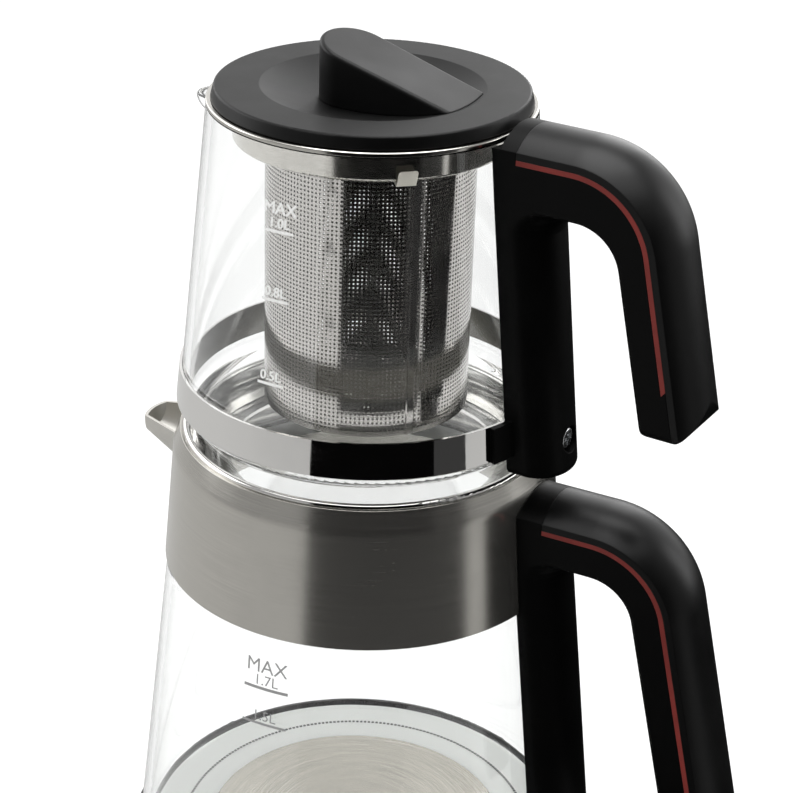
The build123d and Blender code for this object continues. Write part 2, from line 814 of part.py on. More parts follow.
def make_kettle_spout():
    """Pressed steel beak, open at the top, fixed to the collar's skin."""
    return spout_form(0) - spout_form(spout_wall) - collar_body()


def collar_body():
    """The collar's flank filled to the axis."""
    return turned([(0, collar_foot), (collar_foot_radius, collar_foot),
                   (collar_shoulder_radius, shoulder_height), (0, shoulder_height)])


def make_mouth_ring():
    """Rolled steel ring in the collar's mouth, with the ledge that the teapot stands on."""
    outer = mouth_radius + mouth_wall
    foot = ledge_top - mouth_wall
    crest = mouth_top - mouth_bead_radius
    bead = Pos(0, 0, crest) * Torus(mouth_radius + mouth_bead_radius, mouth_bead_radius)
    tube = ring(outer, mouth_radius, foot, crest)
    shelf = ring(outer, mouth_radius - ledge_width, foot, ledge_top)
    return tube + shelf + bead


kettle_grip_size = (kettle_seam_radius, kettle_bar_reach, kettle_bar_top, kettle_bar_depth,
                    kettle_leg_angle, kettle_leg_thickness, kettle_grip_drop)
kettle_core, kettle_grip_cover, kettle_stripes = make_grip(kettle_grip_size)
kettle_column = (kettle_skin, kettle_base_top + fit_gap, kettle_bar_top - kettle_bar_depth,
                 kettle_bracket_flat_foot, kettle_bracket_flat_top)


def make_kettle_handle():
    """Black moulding: the column on the glass, the head on the steel collar and the grip's core."""
    low, high = kettle_column[1:3]
    column = bracket_column(*kettle_column)
    head = root_block(kettle_seam_radius, high, kettle_bar_top, kettle_seam_radius - bracket_head_depth)
    under, over = low - overcut, kettle_bar_top + 2 * grip_crown_height
    glass = turned([(0, under), (kettle_skin(under) + fit_gap, under),
                    (kettle_skin(collar_foot) + fit_gap, collar_foot), (0, collar_foot)])
    steel = turned([(0, collar_foot - fit_gap), (collar_foot_radius + fit_gap, collar_foot - fit_gap),
                    (collar_skin(over) + fit_gap, over), (0, over)])
    height = low + kettle_screw_rise
    _, recess = face_screw(column_face(height, *kettle_column), height)
    moulding = column + head + kettle_core
    return moulding - glass - steel - recess


def make_kettle_screw():
    """Screw at the foot of the kettle's bracket."""
    height = kettle_column[1] + kettle_screw_rise
    return face_screw(column_face(height, *kettle_column), height)[0]


# ---- teapot

def teapot_form(inset):
    """Turned form of the teapot, filled to the axis; inset gives the hollow inside the glass."""
    floor = teapot_foot + (teapot_floor if inset else 0)
    shoulder = teapot_foot + teapot_foot_rise
    step = teapot_foot + teapot_step_rise
    rim = teapot_rim + (overcut if inset else 0)
    outward = teapot_wall - inset
    radii = [teapot_shoulder_round + outward, teapot_step_round + inset, teapot_base_round + outward]
    line = FilletPolyline((teapot_skin(rim) - inset, rim), (teapot_foot_radius - inset, shoulder),
                          (teapot_nest_radius - inset, step), (teapot_base_radius - inset, floor),
                          (0, floor), radius=radii)
    top = Line((0, rim), (teapot_skin(rim) - inset, rim))
    axis = Line((0, floor), (0, rim))
    return revolve(Plane.XZ * make_face([*line.edges(), axis, top]), Axis.Z)


def lip_form(inset):
    """Half of an egg shape below the rim that makes the pour lip."""
    reach = lip_reach + lip_set_back - inset
    egg = scale(Sphere(1), by=(reach, lip_half_width - inset, lip_drop - inset))
    return Pos(teapot_rim_radius - lip_set_back, 0, teapot_rim) * egg


def make_teapot_glass():
    """Blown glass pot: flared wall, stepped foot that nests in the kettle, and a pour lip."""
    lip = Rot(0, 0, lip_angle) * lip_form(0)
    lip -= disc(2 * teapot_rim_radius, teapot_rim, teapot_rim + 2 * lip_drop)
    hollow = Rot(0, 0, lip_angle) * lip_form(lip_wall)
    return teapot_form(0) + lip - teapot_form(teapot_wall) - hollow


def make_clamp_band():
    """Polished steel strip round the foot of the teapot."""
    low, high = teapot_skin(band_foot) + fit_gap, teapot_skin(band_top) + fit_gap
    return turned([(low, band_foot), (low + band_wall, band_foot), (high + band_wall, band_top),
                   (high, band_top)])


teapot_grip_size = (teapot_seam_radius, teapot_bar_reach, teapot_bar_top, teapot_bar_depth,
                    teapot_leg_angle, teapot_leg_thickness, teapot_grip_drop)
teapot_core, teapot_grip_cover, teapot_stripes = make_grip(teapot_grip_size)
teapot_column = (teapot_skin, teapot_bracket_foot, teapot_bar_top - teapot_bar_depth,
                 teapot_bracket_flat_foot, teapot_bracket_flat_top)


def make_teapot_handle():
    """Black moulding: the column on the glass, the ears that hold the band and the grip's core."""
    low, high = teapot_column[1:3]
    column = bracket_column(*teapot_column)
    head = root_block(teapot_seam_radius, high, teapot_bar_top, flange_radius + crown_clearance)
    ear_skin = teapot_skin(band_foot) + band_wall + 2 * fit_gap
    ear_high = teapot_skin(band_top) + band_wall + 2 * fit_gap
    ears = turned([(ear_skin, band_foot), (ear_skin + ear_wall, band_foot),
                   (ear_high + ear_wall, band_top), (ear_high, band_top)])
    wedge = tan(radians(ear_angle / 2)) * 2 * teapot_foot_radius
    ears &= extrude(make_face(Polyline((0, 0), (2 * teapot_foot_radius, -wedge),
                                       (2 * teapot_foot_radius, wedge), close=True)), 2 * teapot_rim)
    strip = band_wall + 2 * fit_gap
    under, over = low - overcut, teapot_rim + overcut
    keep_out = turned([(0, under), (teapot_skin(under) + fit_gap, under),
                       (teapot_skin(band_foot) + fit_gap, band_foot - fit_gap),
                       (teapot_skin(band_foot) + strip, band_foot - fit_gap),
                       (teapot_skin(band_top) + strip, band_top + fit_gap),
                       (teapot_skin(band_top) + fit_gap, band_top + fit_gap),
                       (teapot_skin(over) + fit_gap, over), (0, over)])
    height = low + teapot_screw_rise
    _, recess = face_screw(column_face(height, *teapot_column), height)
    moulding = column + head + ears + teapot_core
    return moulding - keep_out - recess


def make_teapot_screw():
    """Screw at the foot of the teapot's bracket, under the band."""
    height = teapot_bracket_foot + teapot_screw_rise
    return face_screw(column_face(height, *teapot_column), height)[0]


# ---- strainer

def make_strainer_collar():
    """Steel flange on the glass rim, with a short collar and a step in to the basket."""
    outer, inner = strainer_collar_radius, strainer_collar_radius - strainer_wall
    foot = strainer_collar_foot
    step = basket_radius - strainer_wall
    skin = FilletPolyline((step, foot), (outer, foot), (outer, flange_foot),
                          (flange_radius, flange_foot), (flange_radius, flange_top),
                          (inner, flange_top),
                          radius=[strainer_collar_round, strainer_collar_round,
                                  flange_edge_radius / 2, flange_edge_radius])
    lining = Polyline((inner, flange_top), (inner, foot + strainer_wall),
                      (step, foot + strainer_wall), (step, foot))
    return revolve(Plane.XZ * make_face([*skin.edges(), *lining.edges()]), Axis.Z)


def make_strainer_basket():
    """Perforated sheet rolled into a cylinder."""
    top = strainer_collar_foot - fit_gap
    shell = ring(basket_radius, basket_radius - strainer_wall, basket_foot, top)
    rows = basket_hole_rows
    pitch = (top - basket_foot - 2 * basket_plain_margin) / (rows - 1)
    drill = Pos(basket_radius, 0, 0) * Rot(0, 90, 0) * Cylinder(basket_hole_radius, 6 * strainer_wall)
    drills = [Pos(0, 0, basket_foot + basket_plain_margin + row * pitch) * hole
              for row in range(rows)
              for hole in around_z(drill, basket_hole_columns, 180 / basket_hole_columns * (row % 2))]
    return shell - drills


def make_strainer_floor():
    """Perforated pan pressed into the foot of the basket."""
    outer = basket_radius - strainer_wall - fit_gap
    inner = outer - strainer_wall
    low, floor = basket_foot, basket_foot + strainer_wall
    pan = turned([(0, low), (outer, low), (outer, low + floor_pan_rim), (inner, low + floor_pan_rim),
                  (inner, floor), (0, floor)])
    drill = Pos(0, 0, low) * Cylinder(basket_hole_radius, 6 * strainer_wall)
    drills = []
    for circle in range(1, floor_hole_rings + 1):
        reach = circle * inner / (floor_hole_rings + 1)
        drills += around_z(Pos(reach, 0, 0) * drill, 6 * circle)
    return pan - drills


def make_strainer_clips():
    """Spring leaves bent up from under the collar, which steady it inside the glass."""
    skin = strainer_collar_radius + fit_gap
    seat = strainer_collar_foot - fit_gap
    low = strainer_collar_foot - clip_drop
    lean = clip_spread / clip_height
    inside = skin + lean * (seat - low) - clip_wall + fit_gap
    leaf = side_prism([(skin - clip_tongue, seat), (skin - clip_tongue, seat - clip_wall),
                       (skin - clip_wall, low), (skin, low),
                       (skin + clip_spread, low + clip_height),
                       (skin + clip_spread - clip_wall, low + clip_height), (inside, seat)],
                      clip_width)
    corners = leaf.edges().filter_by(Axis.X).group_by(Axis.Z)[-1]
    return group(around_z(fillet(corners, clip_corner_radius), clip_count, clip_angle))


# ---- lid

def dish_floor(depth):
    """Arc of the dished recess from the axis to its edge, at a depth under the lid's skin."""
    middle = dish_radius / 2
    sag = dish_depth * (1 - (middle / dish_radius) ** 2)
    return ThreePointArc((0, lid_top - dish_depth - depth), (middle, lid_top - sag - depth),
                         (dish_radius, lid_top - depth))


def make_lid_cover():
    """Black disc with a dished middle and a short skirt that lies on the strainer's flange."""
    inner = lid_radius - lid_wall
    edges = [dish_floor(0), Line((dish_radius, lid_top), (lid_radius, lid_top)),
             Line((lid_radius, lid_top), (lid_skirt_radius, lid_foot)),
             Line((lid_skirt_radius, lid_foot), (inner, lid_foot)),
             Line((inner, lid_foot), (inner, lid_top - lid_wall)),
             Line((inner, lid_top - lid_wall), (dish_radius, lid_top - lid_wall)),
             dish_floor(lid_wall),
             Line((0, lid_top - dish_depth - lid_wall), (0, lid_top - dish_depth))]
    cover = revolve(Plane.XZ * make_face(edges), Axis.Z)
    rim = [edge for edge in cover.edges() if edge.geom_type == GeomType.CIRCLE
           and abs(edge.radius - lid_radius) < fit_gap and abs(edge.center().Z - lid_top) < fit_gap]
    return fillet(rim, lid_edge_radius)


def make_lid_knob():
    """Wedge-shaped fin that rises from the dish towards the spout side."""
    end = -knob_end_reach
    round_centre = end + knob_end_depth
    foot = dish_radius
    half_end, half_foot = knob_end_width / 2, knob_foot_width / 2
    across = (foot - round_centre) / knob_end_depth
    aside = half_foot / half_end
    touch = atan2(aside, across) + acos(1 / hypot(across, aside))
    touch_x = round_centre + knob_end_depth * cos(touch)
    touch_y = half_end * sin(touch)
    plan = make_face(Polyline((touch_x, -touch_y), (foot, -half_foot), (foot, half_foot),
                              (touch_x, touch_y), close=True))
    plan += Pos(round_centre, 0) * Ellipse(knob_end_depth, half_end)
    fin = Pos(0, 0, lid_top - dish_depth) * extrude(plan, 2 * knob_height)
    peak = lid_top + knob_height
    fall = (foot + overcut - end) * tan(radians(knob_slope))
    fin -= side_prism([(end - overcut, peak), (end, peak), (foot + overcut, peak - fall),
                       (foot + overcut, peak + knob_height), (end - overcut, peak + knob_height)],
                      2 * knob_foot_width)
    ramp = fin.faces().filter_by(lambda face: face.normal_at().Z > 0.5).sort_by(Axis.Z)[-1]
    fin = fillet([edge for edge in ramp.edges() if edge.center().X < foot - overcut], knob_edge_radius)
    edge = (dish_radius, lid_top + fit_gap)
    rim = (lid_radius, lid_top + fit_gap)
    bed = [dish_floor(-fit_gap), Line(edge, rim), Line(rim, (lid_radius, plug_foot)),
           Line((lid_radius, plug_foot), (0, plug_foot)),
           Line((0, plug_foot), (0, lid_top - dish_depth + fit_gap))]
    return fin - revolve(Plane.XZ * make_face(bed), Axis.Z)


def make_lid_plug():
    """Cup under the lid that closes the dish and guides the lid in the strainer's collar."""
    ceiling = lid_top - lid_wall - fit_gap
    inner = plug_radius - plug_wall
    return turned([(0, plug_foot), (plug_radius, plug_foot), (plug_radius, ceiling),
                   (inner, ceiling), (inner, plug_foot + plug_wall), (0, plug_foot + plug_wall)])


def make_lid_seal():
    """Silicone ring round the plug."""
    low = plug_foot + plug_wall
    return ring(lid_seal_radius, plug_radius + fit_gap, low, low + lid_seal_height)


# ---- the parts

save("base_shell", make_base_shell())
save("base_cover", make_base_cover())
save("base_feet", make_base_feet())
save("base_screws", cover_screws(foot_circle_radius, foot_count, foot_height))
save("base_connector", make_base_connector())
save("contact_pin", make_contact_pin())
save("contact_ring", make_contact_ring())
save("contact_shutter", make_contact_shutter())
save("boil_button", make_button(-button_spacing / 2))
save("keep_warm_button", make_button(button_spacing / 2))
save("boil_spring", make_spring(-button_spacing / 2))
save("keep_warm_spring", make_spring(button_spacing / 2))
save("control_board", make_control_board())
save("indicator_lamps", make_lamps())
save("cord_gland", make_cord_gland())

save("kettle_base_shell", make_kettle_base_shell())
save("kettle_bottom", make_kettle_bottom())
save("kettle_bottom_screws", cover_screws(bottom_screw_circle, bottom_screw_count, kettle_foot))
save("kettle_socket", make_kettle_socket())
save("socket_contacts", make_socket_contacts())
save("thermostat", make_thermostat())
save("heat_spreader", make_heat_spreader())
save("heating_element", make_heating_element())
save("heating_plate", make_heating_plate())
save("plate_seal", make_plate_seal())
save("kettle_glass", make_kettle_glass())
save("collar_gasket", make_collar_gasket())
save("kettle_collar", make_kettle_collar())
save("kettle_spout", make_kettle_spout())
save("mouth_ring", make_mouth_ring())
save("kettle_handle", make_kettle_handle())
save("kettle_screw", make_kettle_screw())
save("kettle_grip_cover", kettle_grip_cover)
save("kettle_stripes", kettle_stripes)

save("teapot_glass", with_teapot(make_teapot_glass()))
save("clamp_band", with_teapot(make_clamp_band()))
save("teapot_handle", with_teapot(make_teapot_handle()))
save("teapot_screw", with_teapot(make_teapot_screw()))
save("teapot_grip_cover", with_teapot(teapot_grip_cover))
save("teapot_stripes", with_teapot(teapot_stripes))

save("strainer_collar", make_strainer_collar())
save("strainer_basket", make_strainer_basket())
save("strainer_floor", make_strainer_floor())
save("strainer_clips", with_teapot(make_strainer_clips()))

save("lid_cover", make_lid_cover())
save("lid_knob", make_lid_knob())
save("lid_plug", make_lid_plug())
save("lid_seal", make_lid_seal())
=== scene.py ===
import bpy
import bmesh
from math import cos, pi, radians, sin
from mathutils import Matrix, Vector


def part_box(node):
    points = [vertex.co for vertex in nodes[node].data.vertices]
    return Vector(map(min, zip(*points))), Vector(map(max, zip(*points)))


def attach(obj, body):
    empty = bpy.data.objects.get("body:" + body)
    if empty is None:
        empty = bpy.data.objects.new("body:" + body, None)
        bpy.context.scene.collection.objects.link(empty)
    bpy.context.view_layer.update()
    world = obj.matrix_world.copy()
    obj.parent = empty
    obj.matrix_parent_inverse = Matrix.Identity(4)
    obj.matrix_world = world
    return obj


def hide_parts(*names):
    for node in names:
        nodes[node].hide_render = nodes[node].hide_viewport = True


# An automatic tea maker: a glass teapot with a strainer and lid, standing in the mouth of an
# electric glass kettle on its round power base. Metres, +Z up, the handles towards +X.

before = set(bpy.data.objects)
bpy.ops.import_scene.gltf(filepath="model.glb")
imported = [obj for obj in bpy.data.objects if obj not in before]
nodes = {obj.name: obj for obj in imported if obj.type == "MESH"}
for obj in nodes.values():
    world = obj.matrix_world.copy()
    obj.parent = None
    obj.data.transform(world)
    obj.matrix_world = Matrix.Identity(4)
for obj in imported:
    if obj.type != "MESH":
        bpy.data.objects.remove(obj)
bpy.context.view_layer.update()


# ---- power base: housing and bottom cover
# Two injection mouldings in black plastic, spark-eroded to a fine matt grain and screwed together
# from below. Dust settles in the grain of the upper faces, and handling polishes the high spots.

def add(tree, kind, settings=None, **inputs):
    """A node in a tree, with its sockets set to values or linked from other sockets."""
    made = tree.nodes.new(kind)
    for name, value in (settings or {}).items():
        setattr(made, name, value)
    for name, value in inputs.items():
        numbered = name[1:].isdigit()
        socket = made.inputs[int(name[1:])] if numbered else made.inputs[name.replace("_", " ")]
        if isinstance(value, bpy.types.NodeSocket):
            tree.links.new(value, socket)
        else:
            socket.default_value = value
    return made


def feed(tree, node, **sources):
    """Sockets of other nodes linked to the named sockets of a node."""
    for name, source in sources.items():
        tree.links.new(source, node.inputs[name.replace("_", " ")])


def maths(tree, operation, first, second=0.0, clamp=False):
    """The result of one arithmetic step."""
    settings = {"operation": operation, "use_clamp": clamp}
    return add(tree, "ShaderNodeMath", settings, _0=first, _1=second).outputs[0]


def plus(tree, first, second, clamp=False):
    """Two values added."""
    return maths(tree, "ADD", first, second, clamp)


def times(tree, first, second, clamp=False):
    """Two values multiplied."""
    return maths(tree, "MULTIPLY", first, second, clamp)


def spread(tree, value, low, high, to_low=0.0, to_high=1.0):
    """A value carried from one span to another, held at the ends."""
    return add(tree, "ShaderNodeMapRange", Value=value, From_Min=low, From_Max=high, To_Min=to_low,
               To_Max=to_high).outputs[0]


def mixed(tree, share, first, second):
    """One colour over another by a share."""
    return add(tree, "ShaderNodeMix", {"data_type": "RGBA"}, _0=share, _6=first, _7=second).outputs[2]


def toned(tree, colour, tone):
    """A colour made lighter or darker."""
    return add(tree, "ShaderNodeVectorMath", {"operation": "MULTIPLY"}, _0=colour, _1=tone).outputs[0]


def noise(tree, place, scale, detail=2.0, roughness=0.5):
    """A soft random pattern over a place, from 0 to 1."""
    return add(tree, "ShaderNodeTexNoise", Vector=place, Scale=scale, Detail=detail,
               Roughness=roughness).outputs[0]


def own_place(tree):
    """The place on the object, in metres."""
    return add(tree, "ShaderNodeTexCoord").outputs["Object"]


def stretched(tree, place, scale):
    """A place scaled by a different amount along each axis."""
    return add(tree, "ShaderNodeMapping", Vector=place, Scale=scale).outputs[0]


def bumped(tree, height, strength, distance, **inputs):
    """The normal of a surface with a relief."""
    return add(tree, "ShaderNodeBump", Height=height, Strength=strength, Distance=distance,
               **inputs).outputs[0]


def effect(name, inputs, outputs):
    """An empty node group with named inputs and outputs: (group, input sockets, output node)."""
    group = bpy.data.node_groups.new(name, "ShaderNodeTree")
    for label, kind, value in inputs:
        socket = group.interface.new_socket(label, in_out="INPUT", socket_type=kind)
        socket.default_value = value
    for label, kind in outputs:
        group.interface.new_socket(label, in_out="OUTPUT", socket_type=kind)
    return group, group.nodes.new("NodeGroupInput").outputs, group.nodes.new("NodeGroupOutput")


COLOUR, VALUE, ARROW = "NodeSocketColor", "NodeSocketFloat", "NodeSocketVector"
SURFACE = [("Colour", COLOUR), ("Roughness", VALUE), ("Normal", ARROW)]
SHADER_SOCKETS = {"Colour": "Base Color", "Roughness": "Roughness", "Normal": "Normal"}

moulded, given, result = effect(
    "moulded plastic",
    [("Colour", COLOUR, (0.03, 0.03, 0.03, 1)), ("Roughness", VALUE, 0.5), ("Grain", VALUE, 0.00035),
     ("Depth", VALUE, 0.5), ("Dust", VALUE, 0.3), ("Corner", VALUE, 0.0005)],
    SURFACE)
place = own_place(moulded)
grain = noise(moulded, place, maths(moulded, "DIVIDE", 1.0, given["Grain"]), 2.0, 0.6)
mottle = noise(moulded, place, 38.0, 4.0, 0.6)
specks = add(moulded, "ShaderNodeTexVoronoi", Vector=place, Scale=420.0, Randomness=1.0).outputs["Distance"]
facing = add(moulded, "ShaderNodeNewGeometry").outputs["Normal"]
upward = add(moulded, "ShaderNodeSeparateXYZ", _0=facing).outputs[2]
lint = times(moulded, spread(moulded, specks, 0.05, 0.11, 1.0, 0.0), spread(moulded, mottle, 0.5, 0.62))
film = times(moulded, spread(moulded, mottle, 0.38, 0.7), 0.05)
settled = times(moulded, plus(moulded, times(moulded, lint, 0.35), film), spread(moulded, upward, 0.0, 0.9))
settled = times(moulded, settled, given["Dust"], clamp=True)
shade = toned(moulded, given["Colour"], spread(moulded, mottle, 0.3, 0.7, 0.8, 1.3))
gloss = plus(moulded, given["Roughness"], spread(moulded, mottle, 0.3, 0.7, -0.04, 0.05))
corner = add(moulded, "ShaderNodeBevel", {"samples": 4}, Radius=given["Corner"]).outputs[0]
feed(moulded, result,
     Colour=mixed(moulded, settled, shade, (0.5, 0.49, 0.46, 1)),
     Roughness=plus(moulded, gloss, times(moulded, settled, 0.3), clamp=True),
     Normal=bumped(moulded, grain, given["Depth"], 0.00003, Normal=corner))


def finish_of(name, **constants):
    """A material whose Principled shader holds the constants of a finish."""
    material = bpy.data.materials.new(name)
    material.use_nodes = True
    shader = material.node_tree.nodes["Principled BSDF"]
    for socket, value in constants.items():
        shader.inputs[socket.replace("_", " ")].default_value = value
    return material, material.node_tree, shader


def use(tree, group, shader, **values):
    """An effect placed in a material with its own values, its outputs linked to the shader."""
    placed = tree.nodes.new("ShaderNodeGroup")
    placed.node_tree = group
    for socket, value in values.items():
        placed.inputs[socket.replace("_", " ")].default_value = value
    for output in placed.outputs:
        tree.links.new(output, shader.inputs[SHADER_SOCKETS[output.name]])


def moulding(name, colour, roughness, grain=0.00035, depth=0.5, dust=0.3, corner=0.0005, **constants):
    """A moulded plastic in its colour and surface."""
    material, tree, shader = finish_of(name, **constants)
    use(tree, moulded, shader, Colour=(*colour, 1), Roughness=roughness, Grain=grain, Depth=depth,
        Dust=dust, Corner=corner)
    return material


def dress(material, *names):
    """A finish put on the object's solids by name."""
    for name in names:
        mesh = nodes[name]
        if not mesh.material_slots:
            mesh.data.materials.append(None)
        for slot in mesh.material_slots:
            slot.link = "OBJECT"
            slot.material = material


base_black = moulding("black moulded base", (0.012, 0.012, 0.0125), 0.48, dust=0.5,
                      Specular_IOR_Level=0.3)
dress(base_black, "base_shell", "base_cover")


# ---- power base: feet and cord bush
# Moulded black rubber: four pads glued into the cover and a flanged bush pressed into the rear
# wall. The rubber is duller than the plastic, with a faint bloom.

rubber = moulding("black rubber", (0.02, 0.02, 0.02), 0.78, grain=0.0006, depth=0.8, dust=0.8)
dress(rubber, "base_feet", "cord_gland")


# ---- power base: connector, shutter and contacts
# A glossier black moulding that the kettle turns on, with a brass pin and a sprung brass ring in
# its groove. The contacts are bright where they rub and tarnished elsewhere.

connector_black = moulding("black connector plastic", (0.025, 0.025, 0.027), 0.38, dust=0.2)
dress(connector_black, "base_connector", "contact_shutter")

turned_metal, given, result = effect(
    "turned metal",
    [("Colour", COLOUR, (0.7, 0.7, 0.7, 1)), ("Stain", COLOUR, (0.4, 0.35, 0.3, 1)),
     ("Roughness", VALUE, 0.3), ("Tarnish", VALUE, 0.4)],
    SURFACE)
place = own_place(turned_metal)
blotches = noise(turned_metal, place, 210.0, 5.0, 0.65)
scratches = noise(turned_metal, stretched(turned_metal, place, (900, 900, 7000)), 1.0)
dull = times(turned_metal, spread(turned_metal, blotches, 0.45, 0.7), given["Tarnish"])
wear = plus(turned_metal, times(turned_metal, dull, 0.3),
            spread(turned_metal, scratches, 0.3, 0.7, -0.05, 0.05))
feed(turned_metal, result,
     Colour=mixed(turned_metal, dull, given["Colour"], given["Stain"]),
     Roughness=plus(turned_metal, given["Roughness"], wear, clamp=True),
     Normal=bumped(turned_metal, scratches, 0.35, 0.00002))


def machined(name, colour, stain, roughness, tarnish):
    """A bare metal turned or drawn to shape."""
    material, tree, shader = finish_of(name, Metallic=1.0)
    use(tree, turned_metal, shader, Colour=(*colour, 1), Stain=(*stain, 1), Roughness=roughness,
        Tarnish=tarnish)
    return material


brass = machined("contact brass", (0.78, 0.6, 0.3), (0.34, 0.22, 0.12), 0.25, 0.6)
dress(brass, "contact_pin", "contact_ring", "socket_contacts")


# ---- power base: buttons, lamps, board, springs and screws
# Two satin caps on coil springs over a green circuit board, two clear light guides beside them,
# and zinc-plated screws that hold the cover. The springs are drawn steel wire.

button_red = moulding("red button plastic", (0.36, 0.045, 0.035), 0.34, depth=0.25, dust=0.25)
dress(button_red, "boil_button")
button_grey = moulding("grey button plastic", (0.13, 0.13, 0.135), 0.36, depth=0.25, dust=0.25)
dress(button_grey, "keep_warm_button")
spring_wire = machined("spring wire", (0.58, 0.58, 0.6), (0.3, 0.29, 0.28), 0.3, 0.5)
dress(spring_wire, "boil_spring", "keep_warm_spring")
screw_zinc = machined("zinc plated screw", (0.72, 0.73, 0.74), (0.45, 0.46, 0.48), 0.24, 0.35)
dress(screw_zinc, "base_screws", "kettle_bottom_screws", "kettle_screw", "teapot_screw")

lamp_clear, tree, shader = finish_of("clear light guide", Base_Color=(0.92, 0.88, 0.78, 1),
                                     Transmission_Weight=0.6, IOR=1.49)
haze = noise(tree, own_place(tree), 900.0)
feed(tree, shader, Roughness=spread(tree, haze, 0.3, 0.7, 0.2, 0.4))
dress(lamp_clear, "indicator_lamps")

TRACK_GAP = 0.0004
TRACK_LENGTH = 0.006
TRACK_PITCH = 0.0016
board_green, tree, shader = finish_of("green circuit board", Roughness=0.35, Coat_Weight=0.4)
tracks = add(tree, "ShaderNodeTexBrick", Vector=own_place(tree), Scale=1.0, Mortar_Size=TRACK_GAP,
             Brick_Width=TRACK_LENGTH, Row_Height=TRACK_PITCH, Color1=(0.02, 0.14, 0.06, 1),
             Color2=(0.025, 0.17, 0.075, 1), Mortar=(0.09, 0.3, 0.12, 1))
feed(tree, shader, Base_Color=tracks.outputs["Color"],
     Normal=bumped(tree, tracks.outputs["Fac"], 0.4, 0.00004))
dress(board_green, "control_board")


# ---- kettle: foot ring, bottom cover, socket and thermostat
# Black heat-resistant plastic mouldings. The ring carries the glass on an inner shelf, the cover
# is screwed up into it round the socket, and the thermostat sits over the socket.

kettle_black = moulding("black moulded kettle foot", (0.01, 0.01, 0.0105), 0.42, dust=0.3,
                        Specular_IOR_Level=0.3)
dress(kettle_black, "kettle_base_shell", "kettle_bottom", "kettle_socket", "thermostat")


# ---- kettle: heating plate, spreader and element
# A pressed stainless plate, brushed round its centre, over a cast aluminium disc and a sheathed
# ring element. Heat has tinted the steel of the element and dulled the plate a little.

brushed, given, result = effect(
    "brushing round the axis",
    [("Colour", COLOUR, (0.6, 0.6, 0.59, 1)), ("Roughness", VALUE, 0.35), ("Streak Length", VALUE, 0.1),
     ("Streak Width", VALUE, 0.0004), ("Contrast", VALUE, 0.2), ("Depth", VALUE, 0.3),
     ("Smudges", VALUE, 0.2)],
    SURFACE)
AXIS_CORE = 0.0005
place = own_place(brushed)
east, north, height = add(brushed, "ShaderNodeSeparateXYZ", _0=place).outputs
square = plus(brushed, times(brushed, east, east), times(brushed, north, north))
reach = maths(brushed, "SQRT", square)
safe_reach = maths(brushed, "MAXIMUM", reach, AXIS_CORE)
turns = maths(brushed, "DIVIDE", 1.0, times(brushed, safe_reach, given["Streak Length"]))
across = maths(brushed, "DIVIDE", plus(brushed, reach, height), given["Streak Width"])
unrolled = add(brushed, "ShaderNodeCombineXYZ", _0=times(brushed, east, turns),
               _1=times(brushed, north, turns), _2=across).outputs[0]
streaks = noise(brushed, unrolled, 1.0, 3.0, 0.7)
marks = noise(brushed, place, 26.0, 5.0, 0.62)
light_streak = spread(brushed, streaks, 0.3, 0.7, -1.0, 1.0)
tone = plus(brushed, 1.0, times(brushed, light_streak, given["Contrast"]))
smudge = times(brushed, spread(brushed, marks, 0.48, 0.75), times(brushed, given["Smudges"], 0.4))
tone = times(brushed, tone, maths(brushed, "SUBTRACT", 1.0, smudge))
ridges = times(brushed, light_streak, times(brushed, given["Contrast"], 0.3))
grease = times(brushed, spread(brushed, marks, 0.45, 0.7), times(brushed, given["Smudges"], 0.25))
feed(brushed, result,
     Colour=toned(brushed, given["Colour"], tone),
     Roughness=plus(brushed, given["Roughness"], plus(brushed, ridges, grease), clamp=True),
     Normal=bumped(brushed, streaks, given["Depth"], 0.00003))


def brushed_steel(name, colour, roughness, length=10.0, width=0.0004, contrast=0.12, depth=0.3,
                  smudges=0.3, stretch=0.7, bareness=1.0):
    """Stainless steel brushed round the axis, its highlights drawn out across the brushing."""
    material, tree, shader = finish_of(name, Metallic=bareness, Anisotropic=stretch,
                                       Anisotropic_Rotation=0.25)
    use(tree, brushed, shader, Colour=(*colour, 1), Roughness=roughness, Streak_Length=1.0 / length,
        Streak_Width=width, Contrast=contrast, Depth=depth, Smudges=smudges)
    tangent = add(tree, "ShaderNodeTangent", {"direction_type": "RADIAL", "axis": "Z"})
    feed(tree, shader, Tangent=tangent.outputs[0])
    return material


plate_steel = brushed_steel("brushed plate steel", (0.47, 0.45, 0.4), 0.22, length=1.6, width=0.00025,
                            contrast=0.16, depth=0.12, smudges=0.25, stretch=0.8)
dress(plate_steel, "heating_plate")
aluminium = machined("cast aluminium", (0.72, 0.73, 0.74), (0.5, 0.5, 0.5), 0.5, 0.6)
dress(aluminium, "heat_spreader")
tinted_steel = machined("heat tinted steel", (0.42, 0.4, 0.37), (0.22, 0.16, 0.12), 0.4, 0.8)
dress(tinted_steel, "heating_element")


# ---- kettle: silicone seal and collar gasket
# Clear food-grade silicone, cloudy through its thickness. The seal grips the plate's edge, ends in
# a thin skirt on the glass floor and shows the dark core that stiffens it, and the gasket is wedged
# between the glass neck and the collar. A dark ring is painted round the seal's edge as shade where
# the seal meets the glass floor.

silicone, tree, shader = finish_of("clear silicone", Base_Color=(0.8, 0.81, 0.79, 1),
                                   Transmission_Weight=0.45, IOR=1.41)
cloud = noise(tree, own_place(tree), 150.0, 3.0)
feed(tree, shader, Roughness=spread(tree, cloud, 0.3, 0.7, 0.35, 0.6),
     Normal=bumped(tree, cloud, 0.2, 0.0001))
dress(silicone, "plate_seal", "collar_gasket", "lid_seal")


def in_scene(name, mesh, material):
    """An object with a mesh in one finish, put in the scene."""
    mesh.materials.append(material)
    made = bpy.data.objects.new(name, mesh)
    bpy.context.scene.collection.objects.link(made)
    return made


